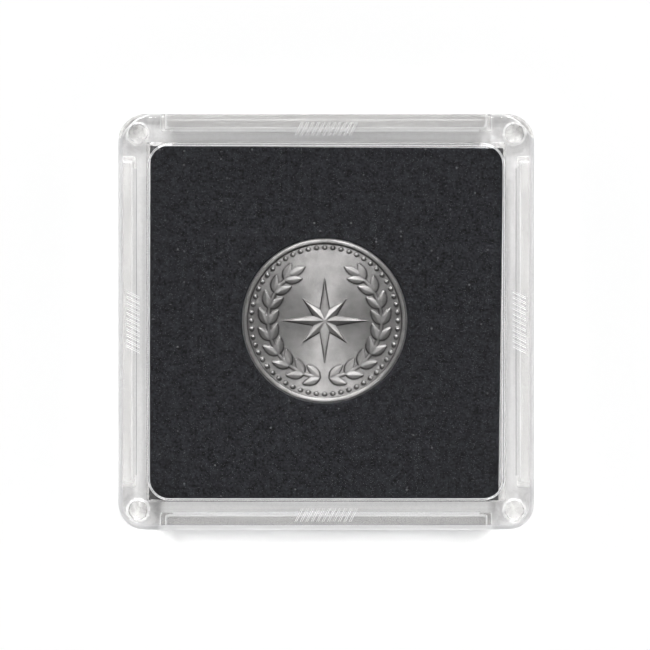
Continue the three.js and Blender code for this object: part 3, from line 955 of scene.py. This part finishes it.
def wreath_relief(x, y):
    """Two branches that mirror each other, each a stem with a leaf at its tip and pairs of leaves below."""
    foot, tip, rows = 0.08, math.pi - 0.5, 9
    radius, angle = np.hypot(x, y), np.arctan2(np.abs(x), -y)
    stem = soft_step(STEM_HALF - np.abs(radius - WREATH), RELIEF_EDGE)
    total = STEM_HEIGHT * stem * (angle > foot) * (angle < tip)
    places = [(WREATH, tip, 0.0)]
    for row in range(rows):
        at = foot + (row + 0.5) * (tip - foot) / rows
        places += [(WREATH + out * 0.7, at, out * 0.5) for out in (-1, 1)]
    for side in (-1, 1):
        for ring_radius, at, splay in places:
            centre = (side * ring_radius * math.sin(at), -ring_radius * math.cos(at))
            heading = at - splay if side > 0 else math.pi - at + splay
            total = np.maximum(total, leaf_relief(x, y, centre, heading, length=2.2, width=1.0))
    return total


def front_relief(x, y):
    return np.maximum.reduce([bead_ring(x, y), wreath_relief(x, y), star_relief(x, y)])


def back_relief(x, y):
    total = np.maximum(bead_ring(x, y), dome(x, y, radius=0.9, height=0.2))
    for k in range(PETALS):
        at = k / PETALS * 2 * math.pi
        centre = (PETAL_PLACE * math.sin(at), -PETAL_PLACE * math.cos(at))
        petal = leaf_relief(x, y, centre, at - math.pi / 2, length=5.6, width=1.5)
        total = np.maximum(total, petal)
    return total


print(f"the star reaches {LONG_POINT:.1f} mm, the wreath runs at {WREATH:.1f} mm")

# %% [markdown]
# The coin is made darker beside its raised forms, on their steep sides and at the foot of its rim. This
# darkening is worked out with the height and kept on the mesh as an attribute, which the coin's material
# reads.

# %% One face of the coin, with its toning
COIN_ROUND = 512
DISH = 0.03
BARE = 0.02
DARKENED_SLOPE = 0.8
DARKENED_HEIGHT = 0.12


def spread(mask, cells=2):
    """A mask on the polar grid grown by a few cells, fading outwards."""
    grown = mask.astype(float)
    for step in range(1, cells + 1):
        fade = 1 - step / (cells + 1)
        for axis in (0, 1):
            for shift in (-step, step):
                grown = np.maximum(grown, fade * np.roll(mask, shift, axis))
    return grown


def struck_side(radii, relief, side):
    """One face of the coin as rows of points from the middle out, and how much each point is darkened."""
    half = (coin_high.z - coin_low.z) / 2
    angles = 2 * math.pi * np.arange(COIN_ROUND) / COIN_ROUND
    r, a = np.meshgrid(radii, angles, indexing="ij")
    x, y = r * np.cos(a), r * np.sin(a)
    raised = relief(x, y * side)
    around = (np.roll(raised, -1, 1) - np.roll(raised, 1, 1)) / (2 * r * (angles[1] - angles[0]))
    slope = np.hypot(np.gradient(raised, radii, axis=0), around)
    # Darker on steep, low slopes and in a band round the raised forms.
    darkened = np.clip(slope / DARKENED_SLOPE, 0, 1) * np.clip(1.4 - raised / DARKENED_HEIGHT, 0, 1)
    darkened = np.maximum(darkened, 0.8 * spread(raised > BARE) * (raised < BARE))
    z = half - FIELD_DEPTH + raised + DISH * (r / FIELD_RADIUS) ** 2 - DISH / 2
    rows = list(np.stack([x, y, side * z], 2))
    tones = list(darkened)
    rim = [
        (FIELD_RADIUS + 0.07, half - 0.2, 0.9), (FIELD_RADIUS + 0.15, half - 0.05, 0.3),
        (FIELD_RADIUS + 0.23, half, 0), (COIN_RADIUS - 0.22, half, 0),
        (COIN_RADIUS - 0.1, half - 0.03, 0), (COIN_RADIUS - 0.02, half - 0.12, 0),
    ]
    for radius, height, tone in rim:
        flat = [radius * np.cos(angles), radius * np.sin(angles), np.full(COIN_ROUND, side * height)]
        rows.append(np.stack(flat, 1))
        tones.append(np.full(COIN_ROUND, tone))
    return rows, tones


# %% Build the coin
STAR_ROWS, WREATH_ROWS, BEAD_ROWS = (0.03, 4.9, 44), (5.0, 9.0, 46), (9.08, FIELD_RADIUS, 13)
BACK_ROWS = (0.05, FIELD_RADIUS, 52)


def build_coin():
    """Both faces' rows of points as one skin, from the middle of the front to the middle of the back."""
    front_radii = np.concatenate([np.linspace(*span) for span in (STAR_ROWS, WREATH_ROWS, BEAD_ROWS)])
    front_rows, front_tones = struck_side(front_radii, front_relief, 1)
    back_rows, back_tones = struck_side(np.linspace(*BACK_ROWS), back_relief, -1)
    rows, tones = front_rows + back_rows[::-1], front_tones + back_tones[::-1]
    points = np.concatenate(rows) + np.array([0, 0, (coin_low.z + coin_high.z) / 2])
    faces = [tuple(range(COIN_ROUND))]
    for level in range(len(rows) - 1):
        faces += band(level * COIN_ROUND, (level + 1) * COIN_ROUND, COIN_ROUND)
    last = (len(rows) - 1) * COIN_ROUND
    faces.append(tuple(last + i for i in reversed(range(COIN_ROUND))))
    piece = smooth(new_piece("struck_coin", points, faces))
    darkening = piece.data.attributes.new("darkening", "FLOAT", "POINT")
    darkening.data.foreach_set("value", np.concatenate(tones).astype(np.float32))
    return piece


coin = build_coin()
coin.data.transform(Matrix.Translation(COIN_SHIFT * MM))
print("coin:", len(coin.data.polygons), "faces")

# %% The coin's metal
def coin_metal():
    """Worn nickel: a lustre that turns round its middle, smudges, and a deeper grey where the mesh is
    darkened.
    """
    material, tree, shader, place = new_material("worn nickel")
    feed(tree, shader, Metallic=1.0, Anisotropic=0.6, Anisotropic_Rotation=0.25)
    tangent = new_node(tree, "Tangent")
    tangent.direction_type = "RADIAL"
    tangent.axis = "Z"
    feed(tree, shader, Tangent=tangent.outputs["Tangent"])
    darkening = new_node(tree, "Attribute")
    darkening.attribute_name = "darkening"
    marks = use_group(tree, HANDLING, place, Hairline_Scale=2200.0, Smudge_Scale=320.0)
    clean, smudged, deep_grey = (0.4, 0.393, 0.387), (0.27, 0.265, 0.262), (0.03, 0.028, 0.027)
    silver = mixed_colour(tree, marks.outputs["Smudges"], clean, smudged)
    darkened = mixed_colour(tree, darkening.outputs["Fac"], silver, deep_grey)
    rough = math_node(tree, "MULTIPLY", marks.outputs["Smudges"], 0.1)
    feed(tree, shader, Base_Color=darkened, Roughness=math_node(tree, "ADD", rough, 0.54))
    grain = noise(tree, place, 5200.0, detail=2.0)
    bump(tree, shader, grain, strength=0.35, distance=0.04 * MM)
    return material


coin.data.materials.append(coin_metal())
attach(coin, "coin")
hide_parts("coin")

# %% [markdown]
# ## Stage
# The floor is partly white to the camera and to rays that come through or off the plastic, and for the rest
# an ordinary lit surface, so that it keeps the soft shadow below the holder's lower edge. Seen from below
# it is clear, so that the holder's back can be looked at. The studio is bright all round and dark overhead,
# where the camera is, so that the window doesn't veil the foam.

# %% Floor
FLOOR_HALF = 3000
FLOOR_DROP = 0.01
WHITE_SHARE = 0.17
WHITE = (1.0, 1.0, 1.0, 1.0)


def seen_directly(tree):
    """1 for camera, glossy and transmission rays, which show the background."""
    path = new_node(tree, "LightPath").outputs
    some = math_node(tree, "MAXIMUM", path["Is Camera Ray"], path["Is Glossy Ray"])
    return math_node(tree, "MAXIMUM", some, path["Is Transmission Ray"])


def floor_material():
    material = bpy.data.materials.new("white floor")
    material.use_nodes = True
    tree = material.node_tree
    tree.nodes.remove(tree.nodes["Principled BSDF"])
    lit = new_node(tree, "BsdfDiffuse", Color=WHITE)
    glow = new_node(tree, "Emission", Color=WHITE, Strength=1.0)
    clear = new_node(tree, "BsdfTransparent")
    share = math_node(tree, "MULTIPLY", seen_directly(tree), WHITE_SHARE)
    above = mixed_shader(tree, share, lit.outputs["BSDF"], glow.outputs["Emission"])
    from_below = new_node(tree, "NewGeometry").outputs["Backfacing"]
    surface = mixed_shader(tree, from_below, above, clear.outputs["BSDF"])
    feed(tree, tree.nodes["Material Output"], Surface=surface)
    return material


def white_floor():
    corners = ((-1, -1), (1, -1), (1, 1), (-1, 1))
    points = [(x * FLOOR_HALF, y * FLOOR_HALF, -FLOOR_DROP) for x, y in corners]
    floor = new_piece("floor", points, [(0, 1, 2, 3)])
    floor.data.materials.append(floor_material())
    return floor


floor = white_floor()
print("floor:", floor.data.materials[0].name)

# %% World
HORIZON_TOP = 0.2
CEILING_START = 0.6
CEILING_LEVEL = 0.05


def studio_world():
    world = bpy.data.worlds.new("studio")
    bpy.context.scene.world = world
    world.use_nodes = True
    tree = world.node_tree
    split = new_node(tree, "SeparateXYZ", Vector=new_node(tree, "TexCoord").outputs["Generated"])
    level = ranged(tree, split.outputs["Z"], HORIZON_TOP, CEILING_START, to_low=1.0, to_high=CEILING_LEVEL)
    feed(tree, tree.nodes["Background"], Color=level, Strength=1.0)
    return world


world = studio_world()
print("world:", world.name)

# %% [markdown]
# ## Light and camera
# Two soft lamps stand above the top edge of the picture, so that the foam's shadow just shows below the
# holder and the coin's lustre opens in spokes. Area lamps would fade across the floor, so they are sun
# lamps, whose width in degrees sets how soft the shadow is. The camera looks straight down from far away.

# %% Lamps
LAMP_AZIMUTH = 12
LAMP_ELEVATION = 42
LAMP_WIDTH = 11
LAMP_STRENGTH = 1.87


def soft_sun(name, azimuth):
    """A sun lamp whose azimuth is counted in degrees from +Y towards +X."""
    data = bpy.data.lights.new(name, "SUN")
    data.angle = math.radians(LAMP_WIDTH)
    data.energy = LAMP_STRENGTH
    lamp = bpy.data.objects.new(name, data)
    a, e = math.radians(azimuth), math.radians(LAMP_ELEVATION)
    towards = Vector((math.sin(a) * math.cos(e), math.cos(a) * math.cos(e), math.sin(e)))
    lamp.location = towards
    lamp.rotation_euler = (-towards).to_track_quat("-Z", "Y").to_euler()
    bpy.context.scene.collection.objects.link(lamp)
    return lamp


lamps = [soft_sun("lamp_left", -LAMP_AZIMUTH), soft_sun("lamp_right", LAMP_AZIMUTH)]
print("lamps:", [lamp.name for lamp in lamps])

# %% Camera
PIXEL = 0.1287
IMAGE_WIDTH = 650
# The picture's middle, in pixels from the holder's.
MIDDLE_RIGHT, MIDDLE_UP = -1.2, -3.1
camera_data = bpy.data.cameras.new("camera")
camera_data.sensor_width = 36.0
camera_data.lens = 190.0
camera = bpy.data.objects.new("camera", camera_data)
height = camera_data.lens / camera_data.sensor_width * IMAGE_WIDTH * PIXEL
camera.location = (MIDDLE_RIGHT * PIXEL * MM, MIDDLE_UP * PIXEL * MM, (HOLDER_TOP + height) * MM)
camera_data.clip_start, camera_data.clip_end = 0.01, 20.0
bpy.context.scene.collection.objects.link(camera)
bpy.context.scene.camera = camera
print(f"camera {height:.0f} mm above the holder, {PIXEL} mm a pixel")

# %% [markdown]
# ## View settings
# A ray crosses many clear walls before it leaves the holder, so it may bounce more often than Blender's
# usual setting allows.

# %% View settings
WALLS_CROSSED = 32
scene = bpy.context.scene
scene.view_settings.view_transform = "Standard"
scene.cycles.max_bounces = WALLS_CROSSED
scene.cycles.transmission_bounces = WALLS_CROSSED
scene.cycles.transparent_max_bounces = WALLS_CROSSED
